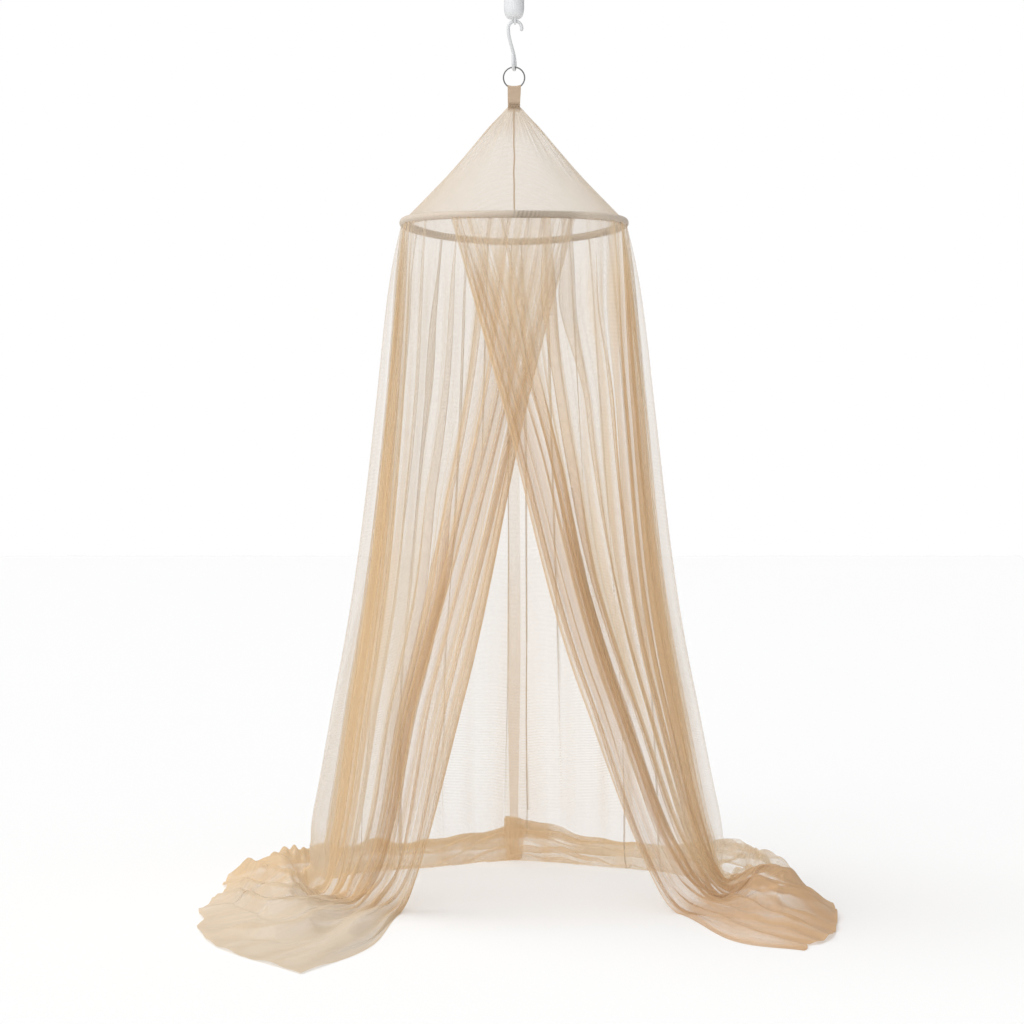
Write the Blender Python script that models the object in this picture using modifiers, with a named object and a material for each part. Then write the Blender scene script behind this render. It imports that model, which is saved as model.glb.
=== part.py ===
"""Mosquito net canopy: a net crown and two gathered net curtains on a covered hoop.

The crown hangs by a tape loop and a steel ring from a twisted S-hook, and the hook from the eye of
a ceiling stem. The curtains cross at the front, spread towards the floor and trail on it.
Metres, +Z up. The origin is the centre of the stem's flat top, where a ceiling holds it, +X is the
canopy's right and -Y its front. Heights below are above the floor, and level() turns them into Z.
"""

import math
from collections import namedtuple

import bmesh
import bpy
import numpy as np
from mathutils import Vector

# Heights above the floor
MOUNT_HEIGHT = 2.000
STEM_BOTTOM = 1.8970
APEX_HEIGHT = 1.706
HOOP_HEIGHT = 1.450
WAIST_HEIGHT = 1.050
KNEE_HEIGHT = 0.450

# Room between pieces that rest on each other
SEAT = 0.0003

# Ceiling stem, and the staple eye under it
STEM_RADIUS = 0.0220
STEM_FLAT_RADIUS = 0.0110
STEM_ROUNDING = 0.0230
STEM_TOP_EDGE = 0.0010
EYE_WIRE = 0.0042
EYE_HALF_WIDTH = 0.0068
EYE_SINK = 0.0040

# Twisted S-hook: the upper bow lies in XZ and opens to the right, the lower one nearly in YZ
HOOK_WIRE = 0.0072
UPPER_BOW_RADIUS = 0.0147
UPPER_BOW_X = 0.0021
UPPER_BOW_HEIGHT = 1.8768
UPPER_BOW_TIP_DEG = -13
LOWER_BOW_RADIUS = 0.0120
LOWER_BOW_TURN_DEG = 10
LOWER_BOW_HEIGHT = 1.7981
LOWER_TIP_HEIGHT = 1.8152
SHANK_PULL = 0.030

# Steel ring in XZ
RING_RADIUS = 0.0231
RING_WIRE = 0.0030

# Tape loop over the ring's lowest stretch, its two plies sewn into the crown's apex
TAPE_WIDTH = 0.0290
TAPE_WIDTH_IN_APEX = 0.0260
TAPE_THICKNESS = 0.0012
TAPE_BOTTOM = 1.697
TAPE_PLY_GAP = 0.0010
TAPE_CLOSES_BELOW = 0.0140

# Hoop with its padded cover. Its tube is ten-sided, flat above and below, where the nets are sewn
HOOP_RADIUS = 0.2400
HOOP_TUBE_RADIUS = 0.0100
HOOP_TUBE_SIDES = 10
HOOP_STEPS = 60
HOOP_FLAT = HOOP_TUBE_RADIUS * math.cos(math.pi / HOOP_TUBE_SIDES)

# Net sheets. The thickness is that of a soft, springy net with its small creases
NET_THICKNESS = 0.0015
CROWN_LAND_RADIUS = 0.2375
CROWN_EDGE_LIFT = 0.0006
CROWN_NECK_X = 0.0168
CROWN_NECK_Y = 0.0052
CROWN_CREASES = 9
CROWN_CREASE_DEPTH = 0.0035
CROWN_SAG = 0.0045

# Each curtain's cloth
CUT_WIDTH = 2.40
MOST_FOLD_DEPTH = 0.045
HEADING_DEPTH_SHARE = 0.05
HEADING_ENDS_AT = 0.24
FOOT_DEPTH_SHARE = 0.66
HEM_DEPTH_SHARE = 0.40
LYING_LEAN_SHARE = 0.3
STEPS_A_FOLD = 5
SLOPE_STEP = 0.001

# Where a rib's keys lie along the cut length: hoop, waist, knee, foot, heap and hem
KEYS_AT = np.array([0.0, 0.21, 0.52, 0.765, 0.86, 1.0])
FOOT_AT = KEYS_AT[3]
LANDING_AT = 0.64
ROWS_HANGING = 8
ROWS_LYING = 10

# A rib is the line that one thread of the curtain follows. cloth is its place in the curtain's
# cut width, from the back to the front edge; hoop_deg its place on the hoop, from the back round
# the curtain's own side. x counts towards the curtain's own side, and y towards the back. lean is
# how far a fold's crest leans there towards the front edge, for each unit of its depth.
Rib = namedtuple(
    "Rib",
    "cloth lean hoop_deg hoop_radius waist_x waist_y knee_x knee_y foot_x foot_y"
    " heap_x heap_y heap_height hem_x hem_y",
)
LEFT_RIBS = (
    Rib(0.00, 0.0, -1.5, 0.2435, -0.005, 0.276, -0.008, 0.345, 0.0015, 0.440,
        0.003, 0.505, 0.060, 0.020, 0.560),
    Rib(0.22, 0.2, 32, 0.2435, 0.148, 0.235, 0.185, 0.302, 0.190, 0.305,
        0.205, 0.370, 0.050, 0.260, 0.460),
    Rib(0.48, 0.3, 62, 0.2435, 0.240, 0.135, 0.302, 0.172, 0.355, 0.205,
        0.405, 0.230, 0.060, 0.490, 0.325),
    Rib(0.75, 0.2, 88, 0.2435, 0.260, 0.010, 0.340, 0.015, 0.455, 0.025,
        0.505, 0.025, 0.064, 0.620, 0.140),
    Rib(1.00, 0.3, 103, 0.2435, 0.257, -0.065, 0.328, -0.100, 0.425, -0.130,
        0.485, -0.165, 0.050, 0.640, 0.020),
    Rib(1.50, 0.6, 128, 0.2435, 0.205, -0.155, 0.275, -0.240, 0.385, -0.265,
        0.462, -0.335, 0.040, 0.655, -0.220),
    Rib(1.80, 0.7, 165, 0.2365, 0.100, -0.225, 0.235, -0.335, 0.355, -0.330,
        0.442, -0.460, 0.030, 0.640, -0.430),
    Rib(2.10, 0.4, 190, 0.2365, 0.030, -0.235, 0.175, -0.375, 0.310, -0.370,
        0.392, -0.590, 0.018, 0.565, -0.720),
    Rib(2.40, 0.2, 213, 0.2365, -0.029, -0.240, 0.099, -0.410, 0.236, -0.370,
        0.266, -0.700, 0.004, 0.379, -0.995),
)
RIGHT_RIBS = (
    Rib(0.00, 0.0, -1.5, 0.2405, -0.005, 0.268, -0.008, 0.335, 0.0015, 0.430,
        0.003, 0.495, 0.060, 0.020, 0.550),
    Rib(0.22, -0.2, 32, 0.2435, 0.148, 0.235, 0.185, 0.302, 0.200, 0.315,
        0.215, 0.375, 0.055, 0.270, 0.440),
    Rib(0.48, -0.3, 62, 0.2435, 0.245, 0.135, 0.302, 0.172, 0.360, 0.215,
        0.410, 0.240, 0.070, 0.490, 0.300),
    Rib(0.75, -0.2, 88, 0.2435, 0.266, 0.010, 0.345, 0.015, 0.465, 0.020,
        0.520, 0.020, 0.062, 0.620, 0.110),
    Rib(1.00, -0.3, 103, 0.2435, 0.260, -0.065, 0.330, -0.100, 0.458, -0.100,
        0.522, -0.130, 0.056, 0.625, -0.010),
    Rib(1.45, -0.5, 128, 0.2435, 0.195, -0.165, 0.275, -0.235, 0.450, -0.205,
        0.522, -0.270, 0.050, 0.655, -0.220),
    Rib(1.80, -0.5, 172, 0.2435, 0.075, -0.262, 0.228, -0.335, 0.430, -0.290,
        0.500, -0.400, 0.035, 0.650, -0.420),
    Rib(1.95, -0.2, 192, 0.2435, 0.045, -0.285, 0.203, -0.375, 0.408, -0.330,
        0.476, -0.470, 0.028, 0.628, -0.560),
    Rib(2.40, 0.0, 213, 0.2435, -0.026, -0.300, 0.136, -0.420, 0.345, -0.375,
        0.410, -0.645, 0.004, 0.542, -0.765),
)

# Main folds from the back to the front edge: the width of cloth in each, and its depth as a share
# of the deepest
Fold = namedtuple("Fold", "cloth depth")
LEFT_FOLDS = (
    Fold(0.20, 0.35),
    Fold(0.22, 0.45),
    Fold(0.16, 0.70),
    Fold(0.17, 0.80),
    Fold(0.17, 1.00),
    Fold(0.13, 0.70),
    Fold(0.12, 0.80),
    Fold(0.11, 0.60),
    Fold(0.12, 0.80),
    Fold(0.14, 0.60),
    Fold(0.16, 0.50),
    Fold(0.16, 0.60),
    Fold(0.13, 0.80),
    Fold(0.15, 0.60),
    Fold(0.14, 0.70),
    Fold(0.12, 0.50),
)
RIGHT_FOLDS = (
    Fold(0.18, 0.35),
    Fold(0.20, 0.50),
    Fold(0.18, 0.60),
    Fold(0.17, 0.80),
    Fold(0.18, 1.00),
    Fold(0.12, 0.80),
    Fold(0.13, 0.70),
    Fold(0.11, 0.80),
    Fold(0.13, 0.60),
    Fold(0.15, 0.50),
    Fold(0.14, 0.60),
    Fold(0.15, 0.50),
    Fold(0.14, 0.60),
    Fold(0.15, 0.50),
    Fold(0.14, 0.55),
    Fold(0.13, 0.40),
)


def level(height):
    """The Z of a height above the floor."""
    return height - MOUNT_HEIGHT


# ---- Blender helpers


def new_material(name, colour, roughness, metallic=0.0):
    material = bpy.data.materials.new(name)
    material.use_nodes = True
    shader = material.node_tree.nodes["Principled BSDF"]
    shader.inputs["Base Color"].default_value = (*colour, 1.0)
    shader.inputs["Roughness"].default_value = roughness
    shader.inputs["Metallic"].default_value = metallic
    return material


def new_object(name, data, material):
    thing = bpy.data.objects.new(name, data)
    data.materials.append(material)
    bpy.data.collections["mosquito_net_canopy"].objects.link(thing)
    return thing


def tube(name, route, diameter, material, bevel_resolution=2):
    """A wire along the points of a route, with closed ends."""
    line = bpy.data.curves.new(name, "CURVE")
    line.dimensions = "3D"
    line.bevel_depth = diameter / 2
    line.bevel_resolution = bevel_resolution
    line.use_fill_caps = True
    spline = line.splines.new("POLY")
    spline.points.add(len(route) - 1)
    for point, place in zip(spline.points, route):
        point.co = (*place, 1.0)
    return new_object(name, line, material)


def as_mesh(thing):
    """Turns a curve object into a mesh object of the same name, with its caps welded."""
    name, place = thing.name, thing.matrix_world.copy()
    graph = bpy.context.evaluated_depsgraph_get()
    mesh = bpy.data.meshes.new_from_object(thing.evaluated_get(graph))
    body = bmesh.new()
    body.from_mesh(mesh)
    bmesh.ops.remove_doubles(body, verts=body.verts, dist=1e-5)
    body.to_mesh(mesh)
    body.free()
    bpy.data.objects.remove(thing)
    made = bpy.data.objects.new(name, mesh)
    made.matrix_world = place
    bpy.data.collections["mosquito_net_canopy"].objects.link(made)
    return made


def sheet(name, columns, rows, place, thickness, material, closed=False):
    """A sheet of cloth: a flat grid that place(across, along) lays in space, then thickened.

    columns and rows are the grid's lines as shares from 0 to 1. A closed sheet's first and last
    columns fall on each other and are welded.
    """
    grid = bmesh.new()
    bmesh.ops.create_grid(
        grid, x_segments=len(columns) - 1, y_segments=len(rows) - 1, size=0.5
    )
    flat = np.array([vertex.co for vertex in grid.verts]) + 0.5
    column = np.round(flat[:, 0] * (len(columns) - 1)).astype(int)
    row = np.round((1 - flat[:, 1]) * (len(rows) - 1)).astype(int)
    for vertex, point in zip(grid.verts, place(columns[column], rows[row])):
        vertex.co = point
    if closed:
        bmesh.ops.remove_doubles(grid, verts=grid.verts, dist=1e-6)
    mesh = bpy.data.meshes.new(name)
    grid.to_mesh(mesh)
    grid.free()
    mesh.shade_smooth()
    thing = new_object(name, mesh, material)
    solidify = thing.modifiers.new("thickness", "SOLIDIFY")
    solidify.thickness = thickness
    solidify.offset = 0
    return thing


# ---- Smooth curves through keys


def curve_through(keys_at, values, where, monotone=False):
    """A smooth curve through values at keys_at, read at where.

    values holds one number, or one array as long as where, for each key. A monotone curve doesn't
    overshoot its keys.
    """
    values = np.array([np.broadcast_to(v, np.shape(where)) for v in values], float)
    step = np.diff(keys_at)[:, None]
    secant = np.diff(values, axis=0) / step
    before, after = secant[:-1], secant[1:]
    inner = (before * step[1:] + after * step[:-1]) / (step[1:] + step[:-1])
    if monotone:
        product = before * after
        total = np.where(np.abs(before + after) < 1e-12, 1.0, before + after)
        inner = np.where(product > 0, 2 * product / total, 0.0)
    slope = np.concatenate([secant[:1], inner, secant[-1:]])
    i = np.clip(np.searchsorted(keys_at, where, "right") - 1, 0, len(keys_at) - 2)
    n = np.arange(len(where))
    span = step[i, 0]
    s = (where - keys_at[i]) / span
    return (
        (1 + 2 * s) * (1 - s) ** 2 * values[i, n]
        + s * (1 - s) ** 2 * span * slope[i, n]
        + s**2 * (3 - 2 * s) * values[i + 1, n]
        + s**2 * (s - 1) * span * slope[i + 1, n]
    )


def smooth_step(low, high, value):
    share = np.clip((value - low) / (high - low), 0, 1)
    return share * share * (3 - 2 * share)


# ---- Curtains


def rib_values(ribs, name, across):
    """One column of a curtain's ribs, read at shares of its width."""
    cloth = np.array([rib.cloth for rib in ribs])
    return curve_through(cloth, [getattr(rib, name) for rib in ribs], across * CUT_WIDTH)


def rib_surface(ribs, side):
    """The surface that a curtain's ribs span, without its folds. side is -1 left and +1 right."""
    heading = HOOP_HEIGHT - HOOP_FLAT - SEAT
    lying = NET_THICKNESS / 2

    def place(across, along):
        turn = np.radians(rib_values(ribs, "hoop_deg", across))
        radius = rib_values(ribs, "hoop_radius", across)
        keys = ("waist", "knee", "foot", "heap", "hem")
        x = [rib_values(ribs, key + "_x", across) for key in keys]
        y = [rib_values(ribs, key + "_y", across) for key in keys]
        heap = rib_values(ribs, "heap_height", across)
        z = [heading, WAIST_HEIGHT, KNEE_HEIGHT, lying, heap, lying]
        return np.stack(
            [
                side * curve_through(KEYS_AT, [radius * np.sin(turn)] + x, along),
                curve_through(KEYS_AT, [radius * np.cos(turn)] + y, along),
                level(curve_through(KEYS_AT, z, along, monotone=True)),
            ],
            axis=1,
        )

    return place


def valley_shares(folds):
    """Where the folds' valleys lie, as shares of the cloth's width."""
    cloth = np.array([fold.cloth for fold in folds])
    return np.concatenate([[0], np.cumsum(cloth) / cloth.sum()])


def slope(place, across, along, step_across, step_along):
    """How fast a surface's points move for a step across or along the cloth."""
    low_across, high_across = np.clip([across - step_across, across + step_across], 0, 1)
    low_along, high_along = np.clip([along - step_along, along + step_along], 0, 1)
    moved = place(high_across, high_along) - place(low_across, low_along)
    return moved / (high_across - low_across + high_along - low_along)[:, None]


def folded_surface(ribs, folds, side):
    """A curtain's surface with its main folds.

    The cloth between two valleys stays as wide as it is cut, so a fold is deep where the ribs run
    close together, as at the waist, and opens out where they spread on the floor.
    """
    base = rib_surface(ribs, side)
    valleys = valley_shares(folds)
    depths = np.array([fold.depth for fold in folds])

    def place(across, along):
        sideways = slope(base, across, along, SLOPE_STEP, 0)
        downwards = slope(base, across, along, 0, SLOPE_STEP)
        outwards = side * np.cross(sideways, downwards)
        outwards /= np.linalg.norm(outwards, axis=1)[:, None]
        lying = smooth_step(LANDING_AT, FOOT_AT, along)
        outwards += lying[:, None] * (np.array([0, 0, 1]) - outwards)

        j = np.clip(np.searchsorted(valleys, across, "right") - 1, 0, len(folds) - 1)
        share = valleys[j + 1] - valleys[j]
        crest = (1 - np.cos(2 * np.pi * (across - valleys[j]) / share)) / 2
        spread = np.linalg.norm(sideways, axis=1)
        slack = np.maximum(CUT_WIDTH**2 - spread**2, 0)
        depth = np.minimum(share * np.sqrt(slack) / 2, MOST_FOLD_DEPTH) * depths[j]
        heading = smooth_step(0, HEADING_ENDS_AT, along)
        depth *= HEADING_DEPTH_SHARE + (1 - HEADING_DEPTH_SHARE) * heading
        depth *= 1 - (1 - FOOT_DEPTH_SHARE) * lying
        depth *= np.interp(along, [FOOT_AT, 1], [1, HEM_DEPTH_SHARE / FOOT_DEPTH_SHARE])

        lean = rib_values(ribs, "lean", across) * (1 - (1 - LYING_LEAN_SHARE) * lying)
        toward_edge = sideways / np.maximum(spread, SLOPE_STEP)[:, None]
        at = base(across, along)
        at += (depth * crest)[:, None] * (outwards + lean[:, None] * toward_edge)
        at[:, 2] = np.maximum(at[:, 2], level(NET_THICKNESS / 2))
        return at

    return place


def make_curtain(name, ribs, folds, side, material):
    valleys = valley_shares(folds)
    folds_at = np.linspace(0, len(folds), len(folds) * STEPS_A_FOLD + 1)
    columns = np.interp(folds_at, np.arange(len(valleys)), valleys)
    rows = np.concatenate(
        [
            np.linspace(0, LANDING_AT, ROWS_HANGING, endpoint=False),
            np.linspace(LANDING_AT, 1, ROWS_LYING + 1),
        ]
    )
    place = folded_surface(ribs, folds, side)
    return sheet(name, columns, rows, place, NET_THICKNESS, material)


# ---- Crown


def crown_point(across, along):
    """The net cone from its gathered neck, flattened round the tape, down to the hoop."""
    turn = 2 * np.pi * across
    drop = APEX_HEIGHT - HOOP_HEIGHT - HOOP_FLAT - SEAT - CROWN_EDGE_LIFT
    crease = CROWN_CREASE_DEPTH * np.sin(np.pi * along) * (1 - along)
    sag = CROWN_SAG * np.sin(np.pi * along)
    ripple = crease * np.cos(CROWN_CREASES * turn) - sag
    half_x = CROWN_NECK_X + (CROWN_LAND_RADIUS - CROWN_NECK_X) * along + ripple
    half_y = CROWN_NECK_Y + (CROWN_LAND_RADIUS - CROWN_NECK_Y) * along + ripple
    half_y += sag * (1 - along) ** 3
    return np.stack(
        [half_x * np.sin(turn), half_y * np.cos(turn), level(APEX_HEIGHT - drop * along)],
        axis=1,
    )


def make_crown(material):
    columns = np.linspace(0, 1, 5 * CROWN_CREASES + 1)
    rows = np.linspace(0, 1, 8) ** 1.3
    return sheet(
        "crown_net", columns, rows, crown_point, NET_THICKNESS, material, closed=True
    )


# ---- Hoop, ring, tape, hook and stem


def add_torus(name, radius, tube_radius, major, minor, centre, turn_x, material):
    bpy.ops.mesh.primitive_torus_add(
        major_radius=radius,
        minor_radius=tube_radius,
        major_segments=major,
        minor_segments=minor,
        location=centre,
        rotation=(turn_x, 0, 0),
    )
    made = bpy.context.active_object
    thing = new_object(name, made.data, material)
    thing.matrix_world = made.matrix_world.copy()
    thing.data.shade_smooth()
    bpy.data.objects.remove(made)
    return thing


def ring_height():
    """The ring's centre: its wire rests in the hook's lower bow."""
    bow_bottom = LOWER_BOW_HEIGHT - LOWER_BOW_RADIUS + HOOK_WIRE / 2
    return bow_bottom + SEAT + RING_WIRE / 2 - RING_RADIUS


def make_tape(material):
    """One tape that goes over the ring's lowest stretch, both its plies hanging to the apex."""
    bend = RING_WIRE / 2 + 2 * SEAT + TAPE_THICKNESS / 2
    ply = (TAPE_PLY_GAP + TAPE_THICKNESS) / 2
    wire = ring_height() - RING_RADIUS
    straight_from = wire - TAPE_CLOSES_BELOW
    half_turn = np.linspace(0, np.pi, 7)
    down_y = np.array([ply, ply, (ply + bend) / 2])
    down_z = np.array([TAPE_BOTTOM, straight_from, (straight_from + wire) / 2])
    path_y = np.concatenate([down_y, bend * np.cos(half_turn), -down_y[::-1]])
    path_z = np.concatenate([down_z, wire + bend * np.sin(half_turn), down_z[::-1]])
    stations = np.linspace(0, 1, len(path_y))

    def place(across, along):
        y, z = np.interp(along, stations, path_y), np.interp(along, stations, path_z)
        follows_ring = smooth_step(TAPE_BOTTOM, wire, z)
        width = TAPE_WIDTH_IN_APEX + (TAPE_WIDTH - TAPE_WIDTH_IN_APEX) * follows_ring
        x = (across - 0.5) * width
        ring_drop = np.sqrt(RING_RADIUS**2 - x**2)
        over_wire = np.maximum(z - wire, 0) * (RING_RADIUS / ring_drop - 1)
        rise = (RING_RADIUS - ring_drop) * follows_ring
        return np.stack([x, y, level(z + rise + over_wire)], axis=1)

    columns = np.linspace(0, 1, 9)
    return sheet("hanging_tape", columns, stations, place, TAPE_THICKNESS, material)


def hook_route():
    """From the upper bow's tip over its top, down the shank and round the lower bow."""
    upper = np.array((UPPER_BOW_X, 0, level(UPPER_BOW_HEIGHT)))
    lower = np.array((0, 0, level(LOWER_BOW_HEIGHT)))
    aside = math.radians(LOWER_BOW_TURN_DEG)
    back = np.array((math.sin(aside), math.cos(aside), 0))
    up = np.array((0, 0, 1))
    route = []
    for degrees in np.linspace(UPPER_BOW_TIP_DEG, 180, 15):
        turn = math.radians(degrees)
        route.append(upper + UPPER_BOW_RADIUS * np.array((math.cos(turn), 0, math.sin(turn))))
    start, end = route[-1], lower + LOWER_BOW_RADIUS * back
    pull = SHANK_PULL * up
    for s in np.linspace(0, 1, 12)[1:]:
        a, b, c, d = (1 - s) ** 3, 3 * s * (1 - s) ** 2, 3 * s * s * (1 - s), s**3
        route.append(a * start + b * (start - pull) + c * (end + pull) + d * end)
    for degrees in np.linspace(0, -180, 11)[1:]:
        turn = math.radians(degrees)
        route.append(lower + LOWER_BOW_RADIUS * (math.cos(turn) * back + math.sin(turn) * up))
    for rise in np.linspace(0, LOWER_TIP_HEIGHT - LOWER_BOW_HEIGHT, 4)[1:]:
        route.append(lower - LOWER_BOW_RADIUS * back + rise * up)
    return route


def make_stem(material):
    """A turned stem with a rounded lower end, and a staple eye for the hook joined to it."""
    bottom = level(STEM_BOTTOM)
    profile = [(0, 0), (STEM_RADIUS - STEM_TOP_EDGE, 0), (STEM_RADIUS, -STEM_TOP_EDGE)]
    rounding_x = STEM_RADIUS - STEM_FLAT_RADIUS
    for turn in np.linspace(0, np.pi / 2, 7):
        across = STEM_FLAT_RADIUS + rounding_x * math.cos(turn)
        profile.append((across, bottom + STEM_ROUNDING * (1 - math.sin(turn))))
    profile.append((0, bottom))
    outline = bmesh.new()
    points = [outline.verts.new((x, 0, z)) for x, z in profile]
    for one, other in zip(points, points[1:]):
        outline.edges.new((one, other))
    mesh = bpy.data.meshes.new("ceiling_stem")
    outline.to_mesh(mesh)
    outline.free()
    stem = new_object("ceiling_stem", mesh, material)
    screw = stem.modifiers.new("turned", "SCREW")
    screw.steps = screw.render_steps = 28
    screw.use_merge_vertices = True
    screw.merge_threshold = 1e-5

    eye_bend = level(UPPER_BOW_HEIGHT + UPPER_BOW_RADIUS - HOOK_WIRE / 2 - SEAT)
    eye_bend += EYE_HALF_WIDTH - EYE_WIRE / 2
    centre_x = UPPER_BOW_X
    route = [Vector((centre_x, EYE_HALF_WIDTH, bottom + EYE_SINK))]
    for turn in np.linspace(0, -np.pi, 9):
        y, z = EYE_HALF_WIDTH * math.cos(turn), eye_bend + EYE_HALF_WIDTH * math.sin(turn)
        route.append(Vector((centre_x, y, z)))
    route.append(Vector((centre_x, -EYE_HALF_WIDTH, bottom + EYE_SINK)))
    eye = as_mesh(tube("stem_eye", route, EYE_WIRE, material))
    eye.hide_render = True
    eye.display_type = "WIRE"
    bpy.data.collections["mosquito_net_canopy"].objects.unlink(eye)
    bpy.data.collections["joined_shapes"].objects.link(eye)
    union = stem.modifiers.new("eye", "BOOLEAN")
    union.operation = "UNION"
    union.object = eye
    return stem


def main():
    for thing in list(bpy.data.objects):
        bpy.data.objects.remove(thing)
    for name in ("mosquito_net_canopy", "joined_shapes"):
        bpy.context.scene.collection.children.link(bpy.data.collections.new(name))

    net = new_material("beige_net", (0.78, 0.62, 0.44), 0.9)
    crown = new_material("cream_net", (0.84, 0.76, 0.66), 0.9)
    binding = new_material("tan_binding", (0.60, 0.50, 0.39), 0.85)
    tape = new_material("tan_tape", (0.62, 0.47, 0.33), 0.85)
    steel = new_material("dark_steel", (0.30, 0.29, 0.28), 0.25, 1.0)
    white = new_material("white_plastic", (0.86, 0.87, 0.88), 0.35)

    make_stem(white)
    tube("s_hook", hook_route(), HOOK_WIRE, white)
    ring_centre = (0, 0, level(ring_height()))
    add_torus(
        "steel_ring", RING_RADIUS, RING_WIRE / 2, 36, 8, ring_centre, math.pi / 2, steel
    )
    make_tape(tape)
    make_crown(crown)
    hoop_centre = (0, 0, level(HOOP_HEIGHT))
    steps, sides = HOOP_STEPS, HOOP_TUBE_SIDES
    add_torus(
        "covered_hoop", HOOP_RADIUS, HOOP_TUBE_RADIUS, steps, sides, hoop_centre, 0, binding
    )
    make_curtain("left_curtain", LEFT_RIBS, LEFT_FOLDS, -1, net)
    make_curtain("right_curtain", RIGHT_RIBS, RIGHT_FOLDS, 1, net)


main()
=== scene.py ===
"""Looks of the mosquito net canopy: fine net curtains and crown, covered hoop, tape and hook.

Metres, +Z up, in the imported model's frame: its origin is the ceiling stem's top, 2 m above the
floor. The curtains follow the same ribs as the solids, with finer folds.
"""

import math
from collections import namedtuple

import bmesh
import bpy
import numpy as np
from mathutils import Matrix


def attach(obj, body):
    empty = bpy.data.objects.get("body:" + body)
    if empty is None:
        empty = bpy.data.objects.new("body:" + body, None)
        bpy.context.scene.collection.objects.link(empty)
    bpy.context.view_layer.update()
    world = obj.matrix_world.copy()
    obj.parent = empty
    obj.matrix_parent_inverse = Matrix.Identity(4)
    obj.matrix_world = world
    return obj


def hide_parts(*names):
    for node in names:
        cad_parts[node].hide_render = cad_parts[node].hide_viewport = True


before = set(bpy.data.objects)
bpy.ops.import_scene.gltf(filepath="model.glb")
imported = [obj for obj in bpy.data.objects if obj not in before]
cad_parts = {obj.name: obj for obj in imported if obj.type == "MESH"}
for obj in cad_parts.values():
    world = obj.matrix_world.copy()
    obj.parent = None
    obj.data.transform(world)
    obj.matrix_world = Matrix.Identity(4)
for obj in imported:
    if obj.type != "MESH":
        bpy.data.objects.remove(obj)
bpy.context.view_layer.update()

# ---- Sizes of the solids

FLOOR = -2.000
APEX = -0.2985
HOOP = -0.550
HOOP_RADIUS = 0.2400
HOOP_TUBE = 0.0100
HOOP_HALF_HEIGHT = 0.0078
HOOP_DROP_FRONT = 0.0090
HOOP_DROP_BACK = 0.0130
WAIST = -0.950
KNEE = -1.550
CUT_WIDTH = 2.40
CUT_LENGTH = 2.15
NET_LIFT = 0.0008

KEYS_AT = np.array([0.0, 0.21, 0.52, 0.765, 0.86, 1.0])
FOOT_AT = KEYS_AT[3]
LANDING_AT = 0.64

Rib = namedtuple(
    "Rib",
    "cloth lean hoop_deg hoop_radius waist_x waist_y knee_x knee_y foot_x foot_y"
    " heap_x heap_y heap_height hem_x hem_y",
)
LEFT_RIBS = (
    Rib(0.00, 0.0, -1.5, 0.2435, -0.005, 0.276, -0.008, 0.345, 0.0015, 0.440,
        0.003, 0.505, 0.060, 0.020, 0.560),
    Rib(0.22, 0.2, 32, 0.2435, 0.148, 0.235, 0.185, 0.302, 0.190, 0.305,
        0.205, 0.370, 0.050, 0.260, 0.460),
    Rib(0.48, 0.3, 62, 0.2435, 0.240, 0.135, 0.302, 0.172, 0.355, 0.205,
        0.405, 0.230, 0.060, 0.490, 0.325),
    Rib(0.75, 0.2, 88, 0.2435, 0.260, 0.010, 0.340, 0.015, 0.455, 0.025,
        0.505, 0.025, 0.064, 0.620, 0.140),
    Rib(1.00, 0.3, 103, 0.2435, 0.257, -0.065, 0.328, -0.100, 0.425, -0.130,
        0.485, -0.165, 0.050, 0.640, 0.020),
    Rib(1.50, 0.6, 128, 0.2435, 0.205, -0.155, 0.275, -0.240, 0.385, -0.265,
        0.462, -0.335, 0.040, 0.655, -0.220),
    Rib(1.80, 0.7, 165, 0.2365, 0.100, -0.225, 0.235, -0.335, 0.355, -0.330,
        0.442, -0.460, 0.030, 0.640, -0.430),
    Rib(2.10, 0.4, 190, 0.2365, 0.030, -0.235, 0.175, -0.375, 0.310, -0.370,
        0.392, -0.590, 0.018, 0.565, -0.720),
    Rib(2.40, 0.2, 213, 0.2365, -0.029, -0.240, 0.099, -0.410, 0.236, -0.370,
        0.266, -0.700, 0.004, 0.379, -0.995),
)
RIGHT_RIBS = (
    Rib(0.00, 0.0, -1.5, 0.2405, -0.005, 0.268, -0.008, 0.335, 0.0015, 0.430,
        0.003, 0.495, 0.060, 0.020, 0.550),
    Rib(0.22, -0.2, 32, 0.2435, 0.148, 0.235, 0.185, 0.302, 0.200, 0.315,
        0.215, 0.375, 0.055, 0.270, 0.440),
    Rib(0.48, -0.3, 62, 0.2435, 0.245, 0.135, 0.302, 0.172, 0.360, 0.215,
        0.410, 0.240, 0.070, 0.490, 0.300),
    Rib(0.75, -0.2, 88, 0.2435, 0.266, 0.010, 0.345, 0.015, 0.465, 0.020,
        0.520, 0.020, 0.062, 0.620, 0.110),
    Rib(1.00, -0.3, 103, 0.2435, 0.260, -0.065, 0.330, -0.100, 0.458, -0.100,
        0.522, -0.130, 0.056, 0.625, -0.010),
    Rib(1.45, -0.5, 128, 0.2435, 0.195, -0.165, 0.275, -0.235, 0.450, -0.205,
        0.522, -0.270, 0.050, 0.655, -0.220),
    Rib(1.80, -0.5, 172, 0.2435, 0.075, -0.262, 0.228, -0.335, 0.430, -0.290,
        0.500, -0.400, 0.035, 0.650, -0.420),
    Rib(1.95, -0.2, 192, 0.2435, 0.045, -0.285, 0.203, -0.375, 0.408, -0.330,
        0.476, -0.470, 0.028, 0.628, -0.560),
    Rib(2.40, 0.0, 213, 0.2435, -0.026, -0.300, 0.136, -0.420, 0.345, -0.375,
        0.410, -0.645, 0.004, 0.542, -0.765),
)


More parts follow.
